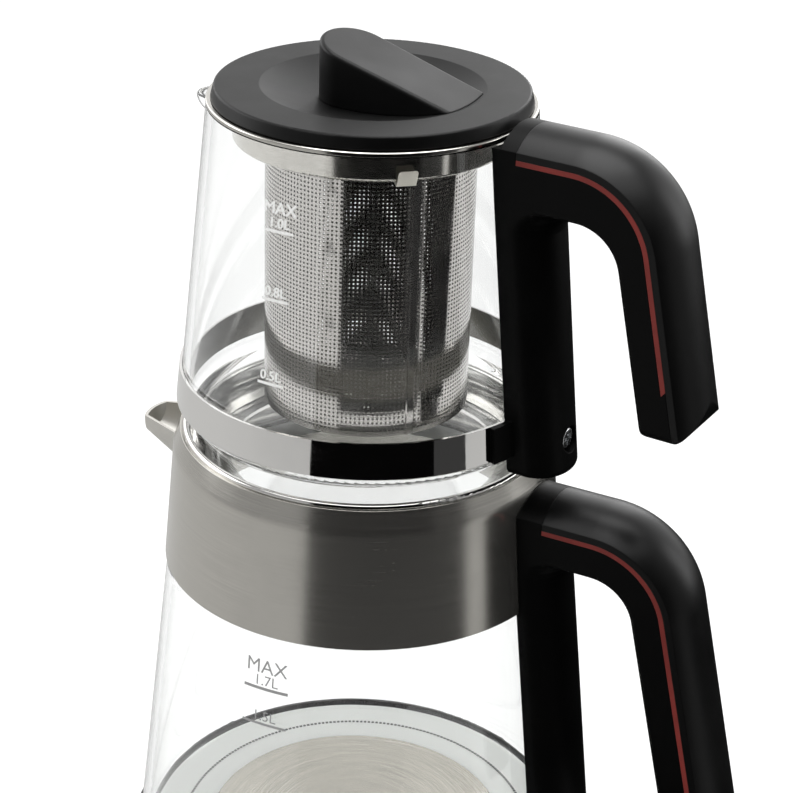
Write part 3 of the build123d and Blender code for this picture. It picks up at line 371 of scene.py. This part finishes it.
def washer(name, inner, outer, low, high, material, body, count=192, dash=1.0):
    """A flat ring, or a ring of dashes, as a closed solid between two radii and two heights."""
    bm = bmesh.new()
    span = 2 * pi / count
    for step in range(count):
        turns = [step * span + span * dash * part / 2 for part in range(3)]
        for run in zip(turns, turns[1:]):
            corners = []
            for turn in run:
                for radius, height in ((inner, low), (outer, low), (outer, high), (inner, high)):
                    corners.append(bm.verts.new((radius * cos(turn), radius * sin(turn), height)))
            for side in range(4):
                following = (side + 1) % 4
                bm.faces.new((corners[side], corners[following], corners[4 + following],
                              corners[4 + side]))
            if dash < 1.0:
                bm.faces.new(corners[3::-1])
                bm.faces.new(corners[4:])
    bmesh.ops.remove_doubles(bm, verts=bm.verts, dist=0.000001)
    bmesh.ops.recalc_face_normals(bm, faces=bm.faces)
    mesh = bpy.data.meshes.new(name)
    bm.to_mesh(mesh)
    bm.free()
    ring = in_scene(name, mesh, material)
    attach(ring, body)


SKIRT_REACH = 0.0792
SKIRT_LOW = 0.0502
SKIRT_HIGH = 0.0509
SKIRT_GAP = 0.0001
EDGE_SHADE_INSET = 0.0003
EDGE_SHADE_HIGH = 0.0512
CORE_INNER = 0.0650
CORE_OUTER = 0.0659
CORE_RISE = 0.0002
CORE_DASHES = 260
CORE_DASH_SHARE = 0.6
seal_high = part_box("plate_seal")[1][2]
seal_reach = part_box("plate_seal")[1][0]
seal_core_and_edge_shade = moulding("dark seal core and painted edge shade", (0.07, 0.07, 0.072), 0.6, dust=0.0)
washer("seal_skirt", seal_reach + SKIRT_GAP, SKIRT_REACH, SKIRT_LOW, SKIRT_HIGH, silicone, "kettle")
# painted shade: a dark ring round the seal's edge, where it meets the glass floor
washer("seal_edge_shade", seal_reach - EDGE_SHADE_INSET, seal_reach + SKIRT_GAP, SKIRT_HIGH,
       EDGE_SHADE_HIGH, seal_core_and_edge_shade, "kettle")
washer("seal_core_dashes", CORE_INNER, CORE_OUTER, seal_high, seal_high + CORE_RISE, seal_core_and_edge_shade,
       "kettle", CORE_DASHES, CORE_DASH_SHARE)


# ---- kettle: glass body
# Clear borosilicate glass blown in a mould, three millimetres thick, with a faint ripple. The
# glass darkens only where it is seen edge-on. Grey level marks are printed on the outside.

ripple, given, result = effect("blown ripple", [("Strength", VALUE, 0.05)], [("Normal", ARROW)])
wave = noise(ripple, stretched(ripple, own_place(ripple), (34, 34, 16)), 1.0, 1.0)
feed(ripple, result, Normal=bumped(ripple, wave, given["Strength"], 0.001))


def clear_glass(name, strength, clearness):
    """Blown glass that lets the lamps through to what stands behind it."""
    material, tree, shader = finish_of(name, Roughness=0.0, IOR=1.47, Transmission_Weight=1.0)
    use(tree, ripple, shader, Strength=strength)
    edge = add(tree, "ShaderNodeLayerWeight", Blend=0.5).outputs["Facing"]
    clear = (clearness, clearness + 0.004, clearness + 0.001, 1)
    tint = mixed(tree, spread(tree, edge, 0.72, 1.0), clear, (0.42, 0.45, 0.44, 1))
    feed(tree, shader, Base_Color=tint)
    through = add(tree, "ShaderNodeBsdfTransparent", Color=(0.95, 0.96, 0.955, 1)).outputs[0]
    lamps = add(tree, "ShaderNodeLightPath").outputs["Is Shadow Ray"]
    both = add(tree, "ShaderNodeMixShader", _0=lamps, _1=shader.outputs[0], _2=through).outputs[0]
    feed(tree, tree.nodes["Material Output"], Surface=both)
    return material


dress(clear_glass("kettle glass", 0.05, 0.986), "kettle_glass")


def skin_radius(skin, height):
    """Radius at a height of a straight glass wall given by two points, each (height, radius)."""
    (low, wide), (high, narrow) = skin
    return wide + (narrow - wide) * (height - low) / (high - low)


MARK_RISE = 0.00006


def wrapped(name, shapes, skin, azimuth, height, material, body):
    """Flat shapes, as (vertices, faces) in metres, printed on a glass wall round the axis."""
    points, faces = [], []
    for flat, cells in shapes:
        first = len(points)
        for x, y in flat:
            z = height + y
            radius = skin_radius(skin, z) + MARK_RISE
            turn = radians(azimuth) + x / radius
            points.append((radius * cos(turn), radius * sin(turn), z))
        faces += [[first + i for i in cell] for cell in cells]
    mesh = bpy.data.meshes.new(name)
    mesh.from_pydata(points, [], faces)
    mark = in_scene(name, mesh, material)
    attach(mark, body)


def letters(text, size, rise, boldness=0.0):
    """A centred line of lettering as flat vertices and faces, printed twice to make it bold."""
    curve = bpy.data.curves.new("lettering", "FONT")
    curve.body, curve.size, curve.align_x, curve.resolution_u = text, size, "CENTER", 4
    shape = bpy.data.objects.new("lettering", curve)
    mesh = bpy.data.meshes.new_from_object(shape)
    shifts = (-boldness / 2, boldness / 2) if boldness else (0,)
    flat = [(v.co.x + shift, v.co.y + rise + shift / 2) for shift in shifts for v in mesh.vertices]
    count = len(mesh.vertices)
    cells = [[i + count * copy for i in p.vertices] for copy in range(len(shifts)) for p in mesh.polygons]
    bpy.data.objects.remove(shape)
    bpy.data.curves.remove(curve)
    bpy.data.meshes.remove(mesh)
    return flat, cells


def bar(width, thickness):
    """A level line, cut into short runs so that it can bend round the glass."""
    runs = 16
    flat = [(-width / 2 + width * i / runs, side * thickness / 2)
            for i in range(runs + 1) for side in (-1, 1)]
    return flat, [[2 * i, 2 * i + 2, 2 * i + 3, 2 * i + 1] for i in range(runs)]


def print_ink(name, colour):
    """Ceramic ink, slightly uneven where it was screened on."""
    material, tree, shader = finish_of(name, Metallic=0.0)
    blot = noise(tree, own_place(tree), 2600.0)
    darker = tuple(0.86 * c for c in colour)
    feed(tree, shader, Base_Color=mixed(tree, spread(tree, blot, 0.35, 0.65), (*darker, 1), (*colour, 1)),
         Roughness=spread(tree, blot, 0.3, 0.7, 0.4, 0.6))
    return material


KETTLE_SKIN = [(0.0469, 0.0822), (0.1685, 0.0694)]
KETTLE_MARKS_AZIMUTH = -88.0
KETTLE_FULL_LEVEL = 0.1515
KETTLE_MID_LEVEL = 0.1383
KETTLE_LINE = 0.0166
grey_ink = print_ink("grey level ink", (0.33, 0.33, 0.33))
kettle_full = [letters("MAX", 0.0072, 0.0058), letters("1.7L", 0.0054, 0.0012), bar(KETTLE_LINE, 0.0011)]
wrapped("kettle_mark_full", kettle_full, KETTLE_SKIN, KETTLE_MARKS_AZIMUTH, KETTLE_FULL_LEVEL, grey_ink,
        "kettle")
kettle_mid = [letters("1.5L", 0.0052, 0.0012), bar(KETTLE_LINE, 0.0009)]
wrapped("kettle_mark_mid", kettle_mid, KETTLE_SKIN, KETTLE_MARKS_AZIMUTH, KETTLE_MID_LEVEL, grey_ink,
        "kettle")


# ---- kettle: steel collar and spout
# Thin stainless sheet spun to a collar with a soft shoulder and brushed round its axis, and a
# pressed beak of the same sheet welded over the pour hole.

collar_steel = brushed_steel("brushed collar steel", (0.5, 0.485, 0.45), 0.21, length=2.0, width=0.0002,
                             contrast=0.1, depth=0.08, smudges=0.2, stretch=0.25, bareness=0.95)
dress(collar_steel, "kettle_collar")
beak_steel = brushed_steel("satin beak steel", (0.6, 0.585, 0.55), 0.42, length=2.0, width=0.0003,
                           contrast=0.05, depth=0.04, stretch=0.0)
dress(beak_steel, "kettle_spout")


# ---- kettle: mouth ring
# Polished stainless tube rolled over at its crest, with a flat ledge turned in for the teapot.
# The polish shows only hairline marks.

polished, given, result = effect(
    "hairline marks", [("Colour", COLOUR, (0.8, 0.8, 0.8, 1)), ("Roughness", VALUE, 0.05)], SURFACE)
place = own_place(polished)
smears = noise(polished, place, 55.0, 6.0, 0.6)
hairs = noise(polished, stretched(polished, place, (260, 260, 4200)), 1.0)
wear = plus(polished, spread(polished, smears, 0.48, 0.72, 0.0, 0.08),
            spread(polished, hairs, 0.5, 0.72, 0.0, 0.05))
smeared = spread(polished, smears, 0.5, 0.75, 0.0, 0.12)
feed(polished, result,
     Colour=mixed(polished, smeared, given["Colour"], (0.55, 0.55, 0.54, 1)),
     Roughness=plus(polished, given["Roughness"], wear, clamp=True),
     Normal=bumped(polished, hairs, 0.06, 0.00002))


def mirror_steel(name, colour, roughness):
    """Polished stainless steel."""
    material, tree, shader = finish_of(name, Metallic=1.0)
    use(tree, polished, shader, Colour=(*colour, 1), Roughness=roughness)
    return material


mouth_steel = mirror_steel("polished mouth steel", (0.72, 0.71, 0.69), 0.09)
dress(mouth_steel, "mouth_ring")


# ---- kettle: handle
# One black moulding in fine matt grain, from the column on the glass to the tip of the grip, with a
# softer grey-black cover over its outer line and a satin red strip let in along each cheek.

grip_black = moulding("black grip plastic", (0.0015, 0.0015, 0.0015), 0.4, grain=0.0003, depth=0.4,
                      dust=0.06, Specular_IOR_Level=0.08)
cover_black = moulding("soft grip cover", (0.0012, 0.0012, 0.0013), 0.36, grain=0.0004, depth=0.5,
                       dust=0.08, Specular_IOR_Level=0.23)
strip_red = moulding("red grip strip", (0.17, 0.02, 0.016), 0.4, grain=0.0005, depth=0.2, dust=0.1,
                     corner=0.0002, Specular_IOR_Level=0.3)
dress(grip_black, "kettle_handle")
dress(cover_black, "kettle_grip_cover")
dress(strip_red, "kettle_stripes")


# ---- teapot: glass body
# Clear borosilicate glass with a stepped foot that nests in the kettle's mouth and a pour lip
# drawn out of the rim. White level marks are printed on the outside.

dress(clear_glass("teapot glass", 0.05, 0.945), "teapot_glass")
TEAPOT_SKIN = [(0.2305, 0.0643), (0.3368, 0.0542)]
TEAPOT_MARKS_AZIMUTH = -91.8
TEAPOT_FULL_LEVEL = 0.3103
TEAPOT_MID_LEVEL = 0.2879
TEAPOT_LOW_LEVEL = 0.26
LITRES_SIZE = 0.0045
LITRES_RISE = 0.0013
TEAPOT_LINE_THICKNESS = 0.0009
BOLDNESS = 0.0003
white_ink = print_ink("white level ink", (0.95, 0.95, 0.94))


def teapot_mark(name, words, line_width, level):
    """A level line on the teapot under its words, each word as (text, size, rise)."""
    shapes = [letters(text, size, rise, BOLDNESS) for text, size, rise in words]
    shapes.append(bar(line_width, TEAPOT_LINE_THICKNESS))
    wrapped(name, shapes, TEAPOT_SKIN, TEAPOT_MARKS_AZIMUTH, level, white_ink, "teapot")


teapot_mark("teapot_mark_full", [("MAX", 0.0056, 0.0056), ("1.0L", LITRES_SIZE, LITRES_RISE)], 0.0104,
            TEAPOT_FULL_LEVEL)
teapot_mark("teapot_mark_mid", [("0.8L", LITRES_SIZE, LITRES_RISE)], 0.0098, TEAPOT_MID_LEVEL)
teapot_mark("teapot_mark_low", [("0.5L", LITRES_SIZE, LITRES_RISE)], 0.0094, TEAPOT_LOW_LEVEL)


# ---- teapot: clamp band
# A strip of stainless steel drawn tight round the foot of the glass, its ends held under the
# handle's ears. Its outer face is mirror-polished, and the face against the glass is darker and rougher.

band_steel = mirror_steel("polished band steel", (0.74, 0.73, 0.715), 0.025)
tree = band_steel.node_tree
shader = tree.nodes["Principled BSDF"]
here = add(tree, "ShaderNodeTexCoord").outputs
outward = add(tree, "ShaderNodeVectorMath", {"operation": "DOT_PRODUCT"}, _0=here["Object"],
              _1=here["Normal"])
# the face against the glass is made a dark brown-grey and rougher
inward = spread(tree, outward.outputs["Value"], -0.05, 0.0, 1.0, 0.0)
bright_colour = shader.inputs["Base Color"].links[0].from_socket
bright_roughness = shader.inputs["Roughness"].links[0].from_socket
feed(tree, shader, Base_Color=mixed(tree, inward, bright_colour, (0.2, 0.19, 0.165, 1)),
     Roughness=add(tree, "ShaderNodeMix", _0=inward, _2=bright_roughness, _3=0.3).outputs[0])
dress(band_steel, "clamp_band")


# ---- teapot: handle
# The same black moulding, grey-black cover and red strips as on the kettle, one size smaller. It is
# screwed through the foot of the column from outside.

dress(grip_black, "teapot_handle")
dress(cover_black, "teapot_grip_cover")
dress(strip_red, "teapot_stripes")


# ---- strainer
# A spun steel collar with a flat flange, a perforated sheet rolled into a cylinder with a plain
# lap seam, a pressed floor, and bent spring leaves that steady the collar in the glass.

collar_bright = brushed_steel("satin collar steel", (0.55, 0.535, 0.5), 0.14, contrast=0.08, depth=0.05,
                              stretch=0.2)
dress(collar_bright, "strainer_collar")
basket_steel = mirror_steel("bright perforated steel", (0.5, 0.485, 0.465), 0.1)
dress(basket_steel, "strainer_floor")
leaf_steel = brushed_steel("spring steel leaf", (0.64, 0.62, 0.56), 0.3, contrast=0.04, depth=0.02,
                           stretch=0.0)
dress(leaf_steel, "strainer_clips")

BASKET_RADIUS = 0.035
BASKET_GAUGE = 0.0005
HOLE_RADIUS = 0.00040
HOLE_COLUMNS = 152
HOLE_ROWS = 62
PLAIN_RIM = 0.0014
basket_low, basket_high = (corner[2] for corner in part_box("strainer_basket"))


def rolled(along, height, rise=0.0):
    """A point of a flat sheet after it is rolled into a cylinder."""
    turn = along / BASKET_RADIUS
    radius = BASKET_RADIUS + rise
    return radius * cos(turn), radius * sin(turn), height


def perforated_sheet(name):
    """A cylinder of sheet with a square grid of eight-sided holes and plain rims."""
    wide = 2 * pi * BASKET_RADIUS / HOLE_COLUMNS
    tall = (basket_high - basket_low - 2 * PLAIN_RIM) / HOLE_ROWS
    foot = basket_low + PLAIN_RIM
    points = [rolled(column * wide, foot + row * tall)
              for row in range(HOLE_ROWS + 1) for column in range(HOLE_COLUMNS)]
    faces = []
    turns = [pi / 8 + pi / 4 * side for side in range(8)]
    for row in range(HOLE_ROWS):
        low_row, high_row = row * HOLE_COLUMNS, (row + 1) * HOLE_COLUMNS
        for column in range(HOLE_COLUMNS):
            middle, height = (column + 0.5) * wide, foot + (row + 0.5) * tall
            first = len(points)
            points += [rolled(middle + HOLE_RADIUS * cos(turn), height + HOLE_RADIUS * sin(turn))
                       for turn in turns]
            following = (column + 1) % HOLE_COLUMNS
            corners = [high_row + following, high_row + column, low_row + column, low_row + following]
            for side, corner in enumerate(corners):
                here = first + 2 * side
                onward = first + (2 * side + 2) % 8
                faces.append((here, corner, here + 1))
                faces.append((here + 1, corner, corners[(side + 1) % 4], onward))
    for row, rim_height in ((0, basket_low), (HOLE_ROWS, basket_high)):
        first = len(points)
        start = row * HOLE_COLUMNS
        points += [rolled(column * wide, rim_height) for column in range(HOLE_COLUMNS)]
        for column in range(HOLE_COLUMNS):
            following = (column + 1) % HOLE_COLUMNS
            strip = [start + column, start + following, first + following, first + column]
            faces.append(strip if row else strip[::-1])
    mesh = bpy.data.meshes.new(name)
    mesh.from_pydata(points, [], faces)
    sheet = in_scene(name, mesh, basket_steel)
    gauge = sheet.modifiers.new("gauge", "SOLIDIFY")
    gauge.thickness, gauge.offset = BASKET_GAUGE, -1.0
    return sheet


basket = perforated_sheet("basket_sheet")
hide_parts("strainer_basket")
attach(basket, "strainer")

SEAM_AZIMUTH = radians(-37.5)
SEAM_WIDTH = 0.003
SEAM_RUNS = 8
SEAM_EDGE_RISE = 0.00005
SEAM_RISE = 0.00035
seam_points = []
for height in (basket_low, basket_high):
    for step in range(SEAM_RUNS + 1):
        along = SEAM_AZIMUTH * BASKET_RADIUS + SEAM_WIDTH * (step / SEAM_RUNS - 0.5)
        rise = SEAM_EDGE_RISE if step in (0, SEAM_RUNS) else SEAM_RISE
        seam_points.append(rolled(along, height, rise))
seam_faces = [(step, step + 1, step + SEAM_RUNS + 2, step + SEAM_RUNS + 1) for step in range(SEAM_RUNS)]
seam_mesh = bpy.data.meshes.new("basket_seam")
seam_mesh.from_pydata(seam_points, [], seam_faces)
seam = in_scene("basket_seam", seam_mesh, basket_steel)
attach(seam, "strainer")


# ---- lid
# A matt black-grey moulding with a dished middle and a wedge to hold it by, over a black plug
# with a silicone ring. Lint shows in the grain of its upper faces.

lid_grey = moulding("matt lid plastic", (0.0016, 0.0016, 0.0017), 0.4, grain=0.0004, depth=0.6,
                    dust=0.2, corner=0.0006, Specular_IOR_Level=0.19)
dress(lid_grey, "lid_cover", "lid_knob")
dress(connector_black, "lid_plug")


# ---- studio
# A plain pale floor and a white backdrop, a large soft lamp overhead and one at each side. Cards
# round the object, seen only in reflections, shape what the steel mirrors.

FLOOR_REACH = 6.0
floor_white = bpy.data.materials.new("pale floor")
floor_white.use_nodes = True
tree = floor_white.node_tree
tree.nodes.clear()
path = add(tree, "ShaderNodeLightPath").outputs
seen = plus(tree, path["Is Camera Ray"], path["Is Transmission Ray"], clamp=True)
plain = add(tree, "ShaderNodeBsdfDiffuse", Color=(0.42, 0.42, 0.415, 1)).outputs[0]
shadowed = add(tree, "ShaderNodeBsdfDiffuse", Color=(0.3, 0.3, 0.3, 1)).outputs[0]
glow = add(tree, "ShaderNodeEmission", Color=(1, 1, 1, 1), Strength=0.74).outputs[0]
bright = add(tree, "ShaderNodeAddShader", _0=shadowed, _1=glow).outputs[0]
surface = add(tree, "ShaderNodeMixShader", _0=seen, _1=plain, _2=bright).outputs[0]
add(tree, "ShaderNodeOutputMaterial", Surface=surface)
floor_corners = [(-FLOOR_REACH, -FLOOR_REACH, 0), (FLOOR_REACH, -FLOOR_REACH, 0),
                 (FLOOR_REACH, FLOOR_REACH, 0), (-FLOOR_REACH, FLOOR_REACH, 0)]
floor_mesh = bpy.data.meshes.new("studio_floor")
floor_mesh.from_pydata(floor_corners, [], [[0, 1, 2, 3]])
floor = in_scene("studio_floor", floor_mesh, floor_white)

SKY_ON_MATT = 0.85
SKY_ON_GLOSS = 0.42
world = bpy.data.worlds.new("studio")
bpy.context.scene.world = world
world.use_nodes = True
tree = world.node_tree
tree.nodes.clear()
path = add(tree, "ShaderNodeLightPath").outputs
seen = plus(tree, path["Is Camera Ray"], path["Is Transmission Ray"], clamp=True)
sky = spread(tree, path["Is Glossy Ray"], 0.0, 1.0, SKY_ON_MATT, SKY_ON_GLOSS)
level = maths(tree, "MAXIMUM", seen, sky)
backdrop = add(tree, "ShaderNodeBackground", Color=(1, 1, 1, 1), Strength=level).outputs[0]
add(tree, "ShaderNodeOutputWorld", Surface=backdrop)


def screen(name, azimuths, inner, outer, strength, through_glass=False):
    """A curved card between two edges, each as (distance, height), lit and seen only in reflections."""
    steps = 24
    points = []
    for step in range(steps + 1):
        turn = radians(azimuths[0] + (azimuths[1] - azimuths[0]) * step / steps)
        for distance, height in (inner, outer):
            points.append((distance * cos(turn), distance * sin(turn), height))
    mesh = bpy.data.meshes.new(name)
    mesh.from_pydata(points, [], [(2 * i, 2 * i + 2, 2 * i + 3, 2 * i + 1) for i in range(steps)])
    material = bpy.data.materials.new(name)
    material.use_nodes = True
    tree = material.node_tree
    tree.nodes.clear()
    light = add(tree, "ShaderNodeEmission", Color=(1, 1, 1, 1), Strength=strength).outputs[0]
    add(tree, "ShaderNodeOutputMaterial", Surface=light)
    strip = in_scene(name, mesh, material)
    strip.visible_camera = strip.visible_diffuse = strip.visible_shadow = False
    strip.visible_transmission = through_glass


NEAR = 0.45
ON_FLOOR = 0.002
CARD_FOOT = 0.1
CARD_TOP = 0.75
screen("screen_front", (-91.0, -24.0), (NEAR, CARD_FOOT), (NEAR, CARD_TOP), 0.002, True)
screen("screen_front_right", (-24.0, -5.0), (NEAR, CARD_FOOT), (NEAR, CARD_TOP), 0.05, True)
screen("screen_front_low", (-91.0, -5.0), (NEAR, ON_FLOOR), (NEAR, CARD_FOOT), 0.045, True)
screen("screen_floor_front", (-90.0, -5.0), (0.1, ON_FLOOR), (NEAR, ON_FLOOR), 0.06)
screen("screen_floor_right", (12.0, 115.0), (0.12, ON_FLOOR), (1.6, ON_FLOOR), 0.01)
screen("screen_top_front", (-150.0, 20.0), (NEAR, 0.78), (0.25, 1.1), 2.5)

FAR = 1.8
BACK_FOOT = 0.25
BACK_TOP = 1.8
screen("screen_back_right", (30.0, 90.0), (FAR, BACK_FOOT), (FAR, BACK_TOP), 1.5)
screen("screen_back_bright", (90.0, 108.0), (FAR, BACK_FOOT), (FAR, BACK_TOP), 3.6)
screen("screen_back_dim", (108.0, 140.0), (FAR, BACK_FOOT), (FAR, BACK_TOP), 1.1)
screen("screen_back_left", (140.0, 205.0), (FAR, BACK_FOOT), (FAR, BACK_TOP), 2.2)

LIT_POINT = Vector((0, 0, 0.2))


def soft_lamp(name, place, size, watts):
    """A soft box aimed at the middle of the object."""
    lamp = bpy.data.lights.new(name, "AREA")
    lamp.shape, lamp.size, lamp.size_y, lamp.energy = "RECTANGLE", size[0], size[1], watts
    box = bpy.data.objects.new(name, lamp)
    box.location = place
    box.rotation_mode = "QUATERNION"
    box.rotation_quaternion = (LIT_POINT - Vector(place)).to_track_quat("-Z", "Y")
    bpy.context.scene.collection.objects.link(box)


soft_lamp("lamp_overhead", (0.0, 0.1, 1.5), (1.0, 1.0), watts=18)
soft_lamp("lamp_left", (-1.3, -0.5, 0.8), (0.9, 0.9), watts=5)
soft_lamp("lamp_right", (1.1, 0.9, 0.7), (0.5, 0.9), watts=3)

CAMERA_PLACE = (0.3201, -0.6020, 0.5612)
SENSOR_WIDTH = 36.0
LENS = 99.37
PITCH = 0.451143816
HEADING = radians(117.1034)
ROLL = 0.0310498317
camera_data = bpy.data.cameras.new("camera")
camera_data.sensor_width = SENSOR_WIDTH
camera_data.lens = LENS
camera = bpy.data.objects.new("camera", camera_data)
bpy.context.scene.collection.objects.link(camera)
bpy.context.scene.camera = camera
ahead = Vector((cos(PITCH) * cos(HEADING), cos(PITCH) * sin(HEADING), -sin(PITCH)))
right = Vector((sin(HEADING), -cos(HEADING), 0))
up = right.cross(ahead)
right, up = cos(ROLL) * right + sin(ROLL) * up, cos(ROLL) * up - sin(ROLL) * right
turn = Matrix((right, up, -ahead)).transposed().to_4x4()
camera.matrix_world = Matrix.Translation(CAMERA_PLACE) @ turn

bpy.context.scene.view_settings.view_transform = "Standard"
